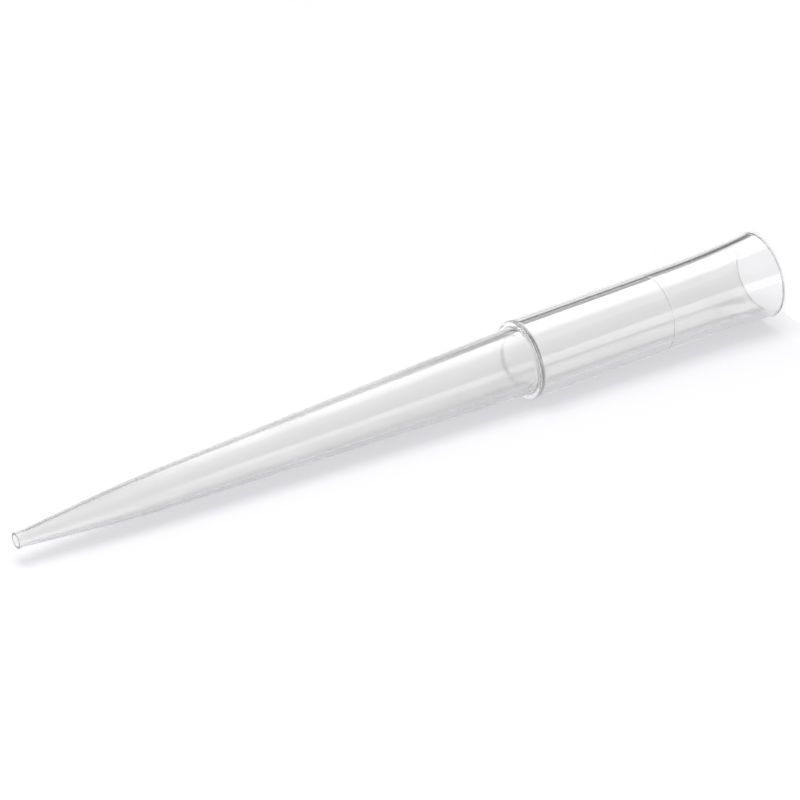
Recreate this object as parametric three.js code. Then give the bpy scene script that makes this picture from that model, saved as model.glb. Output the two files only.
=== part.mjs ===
// A 150 mm macro pipette tip: one moulding in clear polypropylene, open at both ends.
// Millimetres, +Z up. The tip stands on its wide mouth with its nose up, and the origin is the centre of the
// mouth's rim. A pipette's cone goes up into the mouth and seats in the socket, below the inner ring.
import * as THREE from "three";

// Stretches along the axis, from the mouth up to the nose. Their sum is the tip's length.
const FLARE_LENGTH = 19.0; // the mouth's outward flare
const SOCKET_LENGTH = 3.8; // from the flare up to the inner ring
const SLEEVE_LENGTH = 28.5; // from the inner ring up to the collar's shoulder
const BODY_LENGTH = 77.7; // the slow taper, from the shoulder up to the nose cone
const CONE_LENGTH = 19.2; // the nose's fast taper
const LAND_LENGTH = 1.8; // the straight end of the nose

// Outer radii, and the steps by which they grow towards the mouth
const NOSE_RADIUS = 1.45;
const CONE_BASE_RADIUS = 3.25; // where the nose cone meets the body
const BODY_RADIUS = 6.1; // the body's foot, at the collar's shoulder
const COLLAR_STEP = 1.08; // how far the collar stands out from the body
const SLEEVE_GROWTH = 0.02; // draft of the sleeve, from the shoulder to the flare
const FLARE_GROWTH = 0.74; // how far the rim stands out from the sleeve

// Walls
const NOSE_WALL = 0.45;
const CONE_WALL = 0.55; // where the nose cone meets the body
const BODY_WALL = 1.35; // at the body's foot
const SLEEVE_WALL = 1.5; // at the shoulder
const SOCKET_WALL = 1.25; // from the inner ring to the flare
const RING_STEP = 0.2; // how far the sleeve's bore stands in at the inner ring
const RIM_WALL = 1.0;
const SHOULDER_THICKNESS = 1.2; // the wall that joins the body to the sleeve

// Blends: how far from its corner each one starts
const SHARP_EDGE = 0.12; // rim and nose edges
const COLLAR_EDGE = 0.35;
const COLLAR_FILLET = 0.4;
const BORE_FILLET = 0.4; // inner side of the shoulder
const RING_EDGE = 0.16;
const CONE_BLEND = 7.0; // body into nose cone
const LAND_BLEND = 0.7; // nose cone into its straight end
const FLARE_BLEND = 8.2; // sleeve into flare

const EDGE_STEPS = 2;
const CURVE_STEPS = 8;
const ROUND_SEGMENTS = 48;

// Heights above the mouth
const flareHeight = FLARE_LENGTH / 2; // the flare's two tangents cross half way up it
const ringHeight = FLARE_LENGTH + SOCKET_LENGTH;
const shoulderHeight = ringHeight + SLEEVE_LENGTH;
const coneHeight = shoulderHeight + BODY_LENGTH;
const landHeight = coneHeight + CONE_LENGTH;
const noseHeight = landHeight + LAND_LENGTH;

// Outer radii at those heights
const collarRadius = BODY_RADIUS + COLLAR_STEP;
const sleeveRadius = collarRadius + SLEEVE_GROWTH;
const rimRadius = sleeveRadius + FLARE_GROWTH;
const ringRadius = THREE.MathUtils.mapLinear(ringHeight, shoulderHeight, flareHeight, collarRadius, sleeveRadius);

function corner(radius, height, blend, steps = EDGE_STEPS) {
  return { at: new THREE.Vector2(radius, height), blend, steps };
}

// The half section as a closed run of corners: up the outside, over the nose and down the bore.
function section() {
  const outside = [
    corner(rimRadius, 0, SHARP_EDGE),
    corner(sleeveRadius, flareHeight, FLARE_BLEND, CURVE_STEPS),
    corner(collarRadius, shoulderHeight, COLLAR_EDGE),
    corner(BODY_RADIUS, shoulderHeight, COLLAR_FILLET),
    corner(CONE_BASE_RADIUS, coneHeight, CONE_BLEND, CURVE_STEPS),
    corner(NOSE_RADIUS, landHeight, LAND_BLEND),
    corner(NOSE_RADIUS, noseHeight, SHARP_EDGE),
  ];
  const shoulderUnderside = shoulderHeight - SHOULDER_THICKNESS;
  const bore = [
    corner(NOSE_RADIUS - NOSE_WALL, noseHeight, SHARP_EDGE),
    corner(NOSE_RADIUS - NOSE_WALL, landHeight, LAND_BLEND),
    corner(CONE_BASE_RADIUS - CONE_WALL, coneHeight, CONE_BLEND, CURVE_STEPS),
    corner(BODY_RADIUS - BODY_WALL, shoulderUnderside, BORE_FILLET),
    corner(collarRadius - SLEEVE_WALL, shoulderUnderside, BORE_FILLET),
    corner(ringRadius - SOCKET_WALL - RING_STEP, ringHeight, RING_EDGE),
    corner(ringRadius - SOCKET_WALL, ringHeight, RING_EDGE),
    corner(sleeveRadius - SOCKET_WALL, flareHeight, FLARE_BLEND, CURVE_STEPS),
    corner(rimRadius - RIM_WALL, 0, SHARP_EDGE),
  ];
  return [...outside, ...bore];
}

// How far a corner's blend can run along one of its sides: on a short side, both ends give way in proportion.
function roomTowards(own, other) {
  return (own.at.distanceTo(other.at) * own.blend) / (own.blend + other.blend);
}

// Each corner becomes a curve that leaves both of its sides at a tangent.
function blended(corners) {
  const points = corners.flatMap((own, i) => {
    const before = corners.at(i - 1);
    const after = corners[(i + 1) % corners.length];
    const reach = Math.min(own.blend, roomTowards(own, before), roomTowards(own, after));
    const start = before.at.clone().sub(own.at).setLength(reach).add(own.at);
    const end = after.at.clone().sub(own.at).setLength(reach).add(own.at);
    return new THREE.QuadraticBezierCurve(start, own.at, end).getPoints(own.steps);
  });
  return [...points, points[0].clone()];
}

function tip() {
  const clearPlastic = new THREE.MeshStandardMaterial({
    color: 0xeceff0,
    roughness: 0.12,
    metalness: 0,
    transparent: true,
    opacity: 0.35,
  });
  const mesh = new THREE.Mesh(new THREE.LatheGeometry(blended(section()), ROUND_SEGMENTS), clearPlastic);
  mesh.name = "pipette_tip";
  mesh.rotation.x = Math.PI / 2; // the lathe turns its section about Y
  return mesh;
}

const part = new THREE.Group();
part.add(tip());

export default part;
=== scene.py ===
"""A clear macro pipette tip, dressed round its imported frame. Metres, +Z from the mouth to the nose."""

import math

import bpy
from mathutils import Matrix, Vector

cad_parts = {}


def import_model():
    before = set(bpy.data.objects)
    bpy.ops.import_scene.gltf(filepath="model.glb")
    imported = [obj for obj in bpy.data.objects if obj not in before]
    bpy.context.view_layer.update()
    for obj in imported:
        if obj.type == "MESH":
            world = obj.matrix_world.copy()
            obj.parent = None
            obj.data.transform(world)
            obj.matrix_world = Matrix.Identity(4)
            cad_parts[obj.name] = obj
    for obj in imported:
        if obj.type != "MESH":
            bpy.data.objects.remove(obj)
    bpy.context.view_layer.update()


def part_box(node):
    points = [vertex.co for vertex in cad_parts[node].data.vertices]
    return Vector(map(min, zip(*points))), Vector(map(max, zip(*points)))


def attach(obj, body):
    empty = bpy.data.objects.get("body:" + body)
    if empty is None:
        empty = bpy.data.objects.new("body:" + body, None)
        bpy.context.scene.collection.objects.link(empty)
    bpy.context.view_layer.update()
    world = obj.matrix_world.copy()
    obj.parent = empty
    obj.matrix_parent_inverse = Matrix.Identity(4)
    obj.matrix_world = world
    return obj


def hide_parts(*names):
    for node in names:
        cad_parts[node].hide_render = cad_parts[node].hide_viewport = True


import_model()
low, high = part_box("pipette_tip")
MM = 0.001

# ---- Sizes of the tip ----

LENGTH = high.z - low.z
RIM_RADIUS = (high.x - low.x) / 2

# Heights above the mouth
FLARE_BEND = 9.5 * MM
RING_HEIGHT = 22.8 * MM
SHOULDER_HEIGHT = 51.3 * MM
SHOULDER_UNDERSIDE = 50.1 * MM
CONE_HEIGHT = 129.0 * MM
LAND_HEIGHT = 148.2 * MM

# Outer radii
SLEEVE_RADIUS = 7.2 * MM
RING_RADIUS = 7.194 * MM
COLLAR_RADIUS = 7.18 * MM
BODY_RADIUS = 6.1 * MM
CONE_RADIUS = 3.25 * MM
NOSE_RADIUS = 1.45 * MM

# Walls
RIM_WALL = 1.0 * MM
SOCKET_WALL = 1.25 * MM
RING_STEP = 0.2 * MM
SLEEVE_WALL = 1.5 * MM
BODY_WALL = 1.35 * MM
CONE_WALL = 0.55 * MM
NOSE_WALL = 0.45 * MM

# Blends: how far from its corner each one starts
SHARP_EDGE = 0.12 * MM
COLLAR_EDGE = 0.35 * MM
COLLAR_FILLET = 0.4 * MM
BORE_FILLET = 0.4 * MM
RING_EDGE = 0.16 * MM
LAND_BLEND = 0.7 * MM
CONE_BLEND = 7.0 * MM
FLARE_BLEND = 8.2 * MM

EDGE_STEPS = 10
CURVE_STEPS = 24
GUARD = 0.2 * MM  # a row this near each blend keeps its shading off the straight side
ROW_SPACING = 6.0 * MM
SAME_POINT = 0.0001 * MM
ROUND_SEGMENTS = 192

# ---- Where the bench is, and how bright ----

# The tip stands on its mouth but is seen lying, so the bench leans against the back of its collar.
# FRONT points away from the bench.
FRONT = Vector((1, -1, 0)).normalized()
BENCH_SLOPE = 0.028
BENCH_CLEARANCE = 0.1 * MM
FLOOR_CLEARANCE = 0.2 * MM
FLOOR_BACK_EDGE = -4.5 * MM  # along FRONT, from the tip's axis

# How strongly each white surface shines where it is seen, and the dim room elsewhere
BENCH_GLOW = 0.65
FLOOR_GLOW = 0.85
ROOM = 0.2


def srgb(code):
    """A colour written as sRGB hex, as linear RGBA."""
    channels = [int(code[i : i + 2], 16) / 255 for i in (1, 3, 5)]
    return [c / 12.92 if c <= 0.04045 else ((c + 0.055) / 1.055) ** 2.4 for c in channels] + [1.0]


def add(tree, kind, settings=None, values=None, links=None):
    """Adds one node: its settings, its sockets' values and the sockets that feed it."""
    node = tree.nodes.new(kind)
    for name, value in (settings or {}).items():
        setattr(node, name, value)
    for name, value in (values or {}).items():
        node.inputs[name].default_value = value
    for name, source in (links or {}).items():
        tree.links.new(source, node.inputs[name])
    return node


def new_tree(owner):
    owner.use_nodes = True
    owner.node_tree.nodes.clear()
    return owner.node_tree


# ---- The tip's section ----


def section_corners():
    """(radius, height, blend, steps) up the outside, over the nose and down the bore."""
    edge, curve = EDGE_STEPS, CURVE_STEPS
    return [
        (RIM_RADIUS, 0, SHARP_EDGE, edge),
        (SLEEVE_RADIUS, FLARE_BEND, FLARE_BLEND, curve),
        (COLLAR_RADIUS, SHOULDER_HEIGHT, COLLAR_EDGE, edge),
        (BODY_RADIUS, SHOULDER_HEIGHT, COLLAR_FILLET, edge),
        (CONE_RADIUS, CONE_HEIGHT, CONE_BLEND, curve),
        (NOSE_RADIUS, LAND_HEIGHT, LAND_BLEND, edge),
        (NOSE_RADIUS, LENGTH, SHARP_EDGE, edge),
        (NOSE_RADIUS - NOSE_WALL, LENGTH, SHARP_EDGE, edge),
        (NOSE_RADIUS - NOSE_WALL, LAND_HEIGHT, LAND_BLEND, edge),
        (CONE_RADIUS - CONE_WALL, CONE_HEIGHT, CONE_BLEND, curve),
        (BODY_RADIUS - BODY_WALL, SHOULDER_UNDERSIDE, BORE_FILLET, edge),
        (COLLAR_RADIUS - SLEEVE_WALL, SHOULDER_UNDERSIDE, BORE_FILLET, edge),
        (RING_RADIUS - SOCKET_WALL - RING_STEP, RING_HEIGHT, RING_EDGE, edge),
        (RING_RADIUS - SOCKET_WALL, RING_HEIGHT, RING_EDGE, edge),
        (SLEEVE_RADIUS - SOCKET_WALL, FLARE_BEND, FLARE_BLEND, curve),
        (RIM_RADIUS - RIM_WALL, 0, SHARP_EDGE, edge),
    ]


def blend_curve(before, corner, after, reach, steps):
    """A curve round the corner that leaves both of its sides at a tangent."""
    start = corner + (before - corner).normalized() * reach
    end = corner + (after - corner).normalized() * reach
    shares = [i / steps for i in range(steps + 1)]
    return [start * (1 - t) ** 2 + corner * 2 * t * (1 - t) + end * t**2 for t in shares]


def straight_rows(start, end):
    """Rows between two blends: one close to each of them and an even row of others."""
    run = (end - start).length
    if run < 3 * GUARD:
        return []
    count = max(1, round(run / ROW_SPACING))
    even = [i / count for i in range(1, count)]
    return [start.lerp(end, share) for share in (GUARD / run, *even, 1 - GUARD / run)]


def section_points():
    """The closed section, as (radius, height) vectors."""
    rows = section_corners()
    places = [Vector(row[:2]) for row in rows]
    curves = []
    for i, (_, _, blend, steps) in enumerate(rows):
        before, after = i - 1, (i + 1) % len(rows)
        reach = blend
        for other in (before, after):
            side = (places[other] - places[i]).length
            reach = min(reach, side * blend / (blend + rows[other][2]))
        curves.append(blend_curve(places[before], places[i], places[after], reach, steps))
    points = []
    for curve, following in zip(curves, curves[1:] + curves[:1]):
        points += curve + straight_rows(curve[-1], following[0])
    return [p for p, q in zip(points, points[-1:] + points[:-1]) if (p - q).length > SAME_POINT]


# ---- Geometry nodes: the lathe ----


def lathe_tree():
    """Turns a closed section, drawn as (radius - guide, height), about Z."""
    tree = bpy.data.node_groups.new("lathe", "GeometryNodeTree")
    face = tree.interface
    face.new_socket("Section", in_out="INPUT", socket_type="NodeSocketGeometry")
    face.new_socket("Guide radius", in_out="INPUT", socket_type="NodeSocketFloat")
    face.new_socket("Round segments", in_out="INPUT", socket_type="NodeSocketInt")
    face.new_socket("Material", in_out="INPUT", socket_type="NodeSocketMaterial")
    face.new_socket("Turned", in_out="OUTPUT", socket_type="NodeSocketGeometry")
    given = add(tree, "NodeGroupInput").outputs
    profile = add(tree, "GeometryNodeMeshToCurve", links={"Mesh": given["Section"]})
    circle = add(
        tree,
        "GeometryNodeCurvePrimitiveCircle",
        links={"Resolution": given["Round segments"], "Radius": given["Guide radius"]},
    )
    swept = add(
        tree,
        "GeometryNodeCurveToMesh",
        links={"Curve": circle.outputs["Curve"], "Profile Curve": profile.outputs["Curve"]},
    )
    outward = add(tree, "GeometryNodeFlipFaces", links={"Mesh": swept.outputs["Mesh"]})
    smooth = add(tree, "GeometryNodeSetShadeSmooth", links={"Geometry": outward.outputs["Mesh"]})
    real = add(tree, "GeometryNodeRealizeInstances", links={"Geometry": smooth.outputs["Geometry"]})
    finished = add(
        tree,
        "GeometryNodeSetMaterial",
        links={"Geometry": real.outputs["Geometry"], "Material": given["Material"]},
    )
    add(tree, "NodeGroupOutput", links={"Turned": finished.outputs["Geometry"]})
    return tree


def set_inputs(modifier, values):
    """Sets a geometry nodes modifier's inputs by their sockets' identifiers."""
    for socket in modifier.node_group.interface.items_tree:
        if socket.in_out == "INPUT" and socket.name in values:
            modifier[socket.identifier] = values[socket.name]


def plain_mesh(source, name):
    """The evaluated object as a plain mesh in an object of its own."""
    evaluated = source.evaluated_get(bpy.context.evaluated_depsgraph_get())
    mesh = bpy.data.meshes.new_from_object(evaluated)
    bpy.data.objects.remove(source)
    mesh.name = name
    piece = bpy.data.objects.new(name, mesh)
    bpy.context.collection.objects.link(piece)
    return piece


def clear_tip():
    points = section_points()
    guide = RIM_RADIUS / 2
    mesh = bpy.data.meshes.new("section")
    ring = [(i, (i + 1) % len(points)) for i in range(len(points))]
    mesh.from_pydata([(radius - guide, -height, 0) for radius, height in points], ring, [])
    section = bpy.data.objects.new("section", mesh)
    bpy.context.collection.objects.link(section)
    turning = section.modifiers.new("lathe", "NODES")
    turning.node_group = lathe_tree()
    wanted = {"Guide radius": guide, "Round segments": ROUND_SEGMENTS, "Material": clear_polypropylene()}
    set_inputs(turning, wanted)
    piece = plain_mesh(section, "clear_tip")
    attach(piece, "root")
    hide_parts("pipette_tip")
    return piece


# ---- Materials ----


def clear_polypropylene():
    """Clear polypropylene, moulded against steel that was polished lengthwise: glassy, with a soft gloss."""
    material = bpy.data.materials.new("clear_polypropylene_moulded")
    tree = new_tree(material)
    place = add(tree, "ShaderNodeTexCoord").outputs["Object"]
    # the polishing lines of the steel, 0.6 mm apart and long: they streak the highlights a little
    lengthwise = add(tree, "ShaderNodeMapping", values={"Scale": (1, 1, 0.06)}, links={"Vector": place})
    lines = add(
        tree,
        "ShaderNodeTexNoise",
        values={"Scale": 1600.0, "Detail": 2.0},
        links={"Vector": lengthwise.outputs["Vector"]},
    )
    relief = add(
        tree,
        "ShaderNodeBump",
        values={"Strength": 0.12, "Distance": 0.000012},
        links={"Height": lines.outputs["Fac"]},
    )
    # cloudy flow marks, 8 mm across: here the gloss is a touch softer
    flow = add(tree, "ShaderNodeTexNoise", values={"Scale": 125.0, "Detail": 1.0}, links={"Vector": place})
    marks = add(
        tree,
        "ShaderNodeMapRange",
        values={"From Min": 0.3, "From Max": 0.7, "To Min": 0.8, "To Max": 1.2},
        links={"Value": flow.outputs["Fac"]},
    )
    # the steel is polished less beyond the collar, so the body looks a little milkier than the sleeve
    height = add(tree, "ShaderNodeSeparateXYZ", links={"Vector": place})
    polish = add(
        tree,
        "ShaderNodeMapRange",
        values={"From Min": SHOULDER_UNDERSIDE, "From Max": SHOULDER_HEIGHT, "To Min": 0.06, "To Max": 0.16},
        links={"Value": height.outputs["Z"]},
    )
    gloss = add(
        tree,
        "ShaderNodeMath",
        settings={"operation": "MULTIPLY"},
        links={0: polish.outputs["Result"], 1: marks.outputs["Result"]},
    )
    shine = add(
        tree,
        "ShaderNodeBsdfPrincipled",
        values={"Base Color": srgb("#F5F5F4"), "IOR": 1.49, "Transmission Weight": 1.0},
        links={"Roughness": gloss.outputs[0], "Normal": relief.outputs["Normal"]},
    )
    add(tree, "ShaderNodeOutputMaterial", links={"Surface": shine.outputs[0]})
    return material


def seen_directly(tree):
    """1 where a surface is seen: straight from the camera, mirrored or through the plastic."""
    path = add(tree, "ShaderNodeLightPath")
    mirrored = add(
        tree,
        "ShaderNodeMath",
        settings={"operation": "MAXIMUM"},
        links={0: path.outputs["Is Glossy Ray"], 1: path.outputs["Is Transmission Ray"]},
    )
    seen = add(
        tree,
        "ShaderNodeMath",
        settings={"operation": "MAXIMUM"},
        links={0: path.outputs["Is Camera Ray"], 1: mirrored.outputs[0]},
    )
    return seen.outputs[0]


def white_laminate(name, glow):
    """White bench laminate: matt, so bright that only shadows show on it. From behind it is open."""
    material = bpy.data.materials.new(name)
    tree = new_tree(material)
    matt = add(tree, "ShaderNodeBsdfDiffuse", values={"Color": srgb("#F2F1F2")})
    strength = add(
        tree,
        "ShaderNodeMath",
        settings={"operation": "MULTIPLY"},
        values={1: glow},
        links={0: seen_directly(tree)},
    )
    lift = add(
        tree,
        "ShaderNodeEmission",
        values={"Color": srgb("#FBFAFE")},
        links={"Strength": strength.outputs[0]},
    )
    surface = add(tree, "ShaderNodeAddShader", links={0: matt.outputs[0], 1: lift.outputs[0]})
    side = add(tree, "ShaderNodeNewGeometry")
    nothing = add(tree, "ShaderNodeBsdfTransparent")
    open_back = add(
        tree,
        "ShaderNodeMixShader",
        links={0: side.outputs["Backfacing"], 1: surface.outputs[0], 2: nothing.outputs[0]},
    )
    add(tree, "ShaderNodeOutputMaterial", links={"Surface": open_back.outputs[0]})
    return material


# ---- Stage ----


def bench_axes():
    """The bench's normal, the way along it towards the nose, and the way across it, away from the camera."""
    normal = (FRONT - Vector((0, 0, BENCH_SLOPE))).normalized()
    along = (Vector((0, 0, 1)) - normal * normal.z).normalized()
    return normal, along, along.cross(normal)


def panel(name, centre, across, up, width, height, material):
    """A flat sheet whose face looks along the cross product of across and up."""
    corners = [(-1, -1), (1, -1), (1, 1), (-1, 1)]
    points = [centre + across * (x * width / 2) + up * (y * height / 2) for x, y in corners]
    mesh = bpy.data.meshes.new(name)
    mesh.from_pydata(points, [], [(0, 1, 2, 3)])
    mesh.materials.append(material)
    sheet = bpy.data.objects.new(name, mesh)
    bpy.context.collection.objects.link(sheet)
    return sheet


def stage():
    normal, along, across = bench_axes()
    touch = -FRONT * COLLAR_RADIUS + Vector((0, 0, SHOULDER_HEIGHT))
    bench_white = white_laminate("bench_laminate", BENCH_GLOW)
    panel("bench", touch - normal * BENCH_CLEARANCE, across, along, 1.0, 2.4, bench_white)
    # the floor starts a little in front of the bench, which leaves the end of the shadow whole
    reach = 3.0
    place = FRONT * (reach / 2 + FLOOR_BACK_EDGE) + Vector((0, 0, -FLOOR_CLEARANCE))
    sideways = Vector((0, 0, 1)).cross(FRONT)
    floor_white = white_laminate("floor_laminate", FLOOR_GLOW)
    floor = panel("floor", place, FRONT, sideways, reach, reach, floor_white)
    # the strip and the back lamp stand below the floor's level, so the floor doesn't hide them
    floor.visible_shadow = False
    floor.visible_glossy = False
    floor.visible_transmission = False


def world():
    """White for the camera. Elsewhere a dim room, with an open bright front seen through the plastic."""
    made = bpy.data.worlds.new("studio")
    bpy.context.scene.world = made
    tree = new_tree(made)
    place = add(tree, "ShaderNodeTexCoord")
    towards = add(
        tree,
        "ShaderNodeVectorMath",
        settings={"operation": "DOT_PRODUCT"},
        values={1: FRONT},
        links={0: place.outputs["Generated"]},
    )
    open_side = add(
        tree,
        "ShaderNodeMapRange",
        values={"From Min": 0.6, "From Max": 0.75, "To Min": ROOM, "To Max": 1.0},
        links={"Value": towards.outputs["Value"]},
    )
    path = add(tree, "ShaderNodeLightPath")
    through = add(
        tree,
        "ShaderNodeMix",
        values={"A": ROOM},
        links={"Factor": path.outputs["Is Transmission Ray"], "B": open_side.outputs["Result"]},
    )
    strength = add(
        tree,
        "ShaderNodeMath",
        settings={"operation": "MAXIMUM"},
        links={0: path.outputs["Is Camera Ray"], 1: through.outputs["Result"]},
    )
    studio = add(
        tree,
        "ShaderNodeBackground",
        values={"Color": srgb("#FFFFFF")},
        links={"Strength": strength.outputs[0]},
    )
    add(tree, "ShaderNodeOutputWorld", links={"Surface": studio.outputs[0]})


def softbox(name, place, target, width, height, radiance):
    """A lamp with the given glow per area, which the camera doesn't see."""
    lamp = bpy.data.lights.new(name, "AREA")
    lamp.shape = "RECTANGLE"
    lamp.size, lamp.size_y = width, height
    lamp.energy = radiance * math.pi * width * height
    box = bpy.data.objects.new(name, lamp)
    box.location = place
    box.rotation_euler = (target - place).to_track_quat("-Z", "Y").to_euler()
    box.visible_camera = False
    bpy.context.collection.objects.link(box)
    return box


def lights():
    normal, along, across = bench_axes()
    middle = Vector((0, 0, LENGTH / 2))

    def away(over, endwise, distance):
        """A place round the tip: over degrees from the bench's normal, and endwise towards the nose."""
        lean = math.radians(over)
        way = normal * math.cos(lean) + across * math.sin(lean) + along * endwise
        return middle + way.normalized() * distance

    # only the bench sees the light from overhead, which gives the tip its soft shadow
    place = away(over=-1, endwise=0.1, distance=1.0)
    overhead = softbox("overhead", place, middle, width=0.6, height=0.6, radiance=2.45)
    overhead.visible_glossy = False
    overhead.visible_transmission = False
    # a low strip in front, which draws one thin highlight along the tip
    place = away(over=-80, endwise=-0.5, distance=1.0)
    strip = softbox("front strip", place, middle, width=0.36, height=0.4, radiance=3.4)
    strip.visible_diffuse = False
    strip.visible_transmission = False
    # a wide lamp behind, which whitens the upper side
    place = away(over=33, endwise=-0.537, distance=2.03)
    back = softbox("back", place, middle, width=1.92, height=0.77, radiance=2.6)
    back.visible_diffuse = False
    # a white card behind the body, close enough that only the body and the nose mirror it
    target = middle - along * 0.02
    place = target + across * 0.15 + normal * 0.035
    card = softbox("card", place, target, width=0.085, height=0.11, radiance=0.4)
    card.visible_diffuse = False


def camera():
    """Looks at the lying tip from its nose end, from 30 degrees above the bench."""
    made = bpy.data.cameras.new("camera")
    made.lens = 196.2
    made.sensor_width = 36.0
    eye = bpy.data.objects.new("camera", made)
    bpy.context.collection.objects.link(eye)
    bpy.context.scene.camera = eye
    # the mouth's centre and the tip's axis as the eye sees them: right, up and back
    mouth = Vector((64.2, 22.45, -780.6)) * MM
    nose = Vector((-63.1, -23.16, -715.6)) * MM
    pitch = math.radians(29.5)
    axis = (nose - mouth).normalized()
    up_from_bench = Vector((0, math.cos(pitch), math.sin(pitch)))
    front = (up_from_bench - axis * up_from_bench.dot(axis)).normalized()
    side = axis.cross(front)
    seen = Matrix((front, side, axis))  # eye space to (front, side, axis)
    real = Matrix((FRONT, Vector((0, 0, 1)).cross(FRONT), Vector((0, 0, 1)))).transposed()
    turn = real @ seen
    eye.matrix_world = Matrix.Translation(turn @ -mouth) @ turn.to_4x4()


camera()
clear_tip()
stage()
world()
lights()

# light turns over many times inside a clear wall
BOUNCES = 64
cycles = bpy.context.scene.cycles
cycles.max_bounces = BOUNCES
cycles.glossy_bounces = BOUNCES
cycles.transmission_bounces = BOUNCES
# the clear wall would gather light inside the tip's own shadow
cycles.caustics_refractive = False
cycles.caustics_reflective = False
bpy.context.scene.view_settings.view_transform = "Standard"
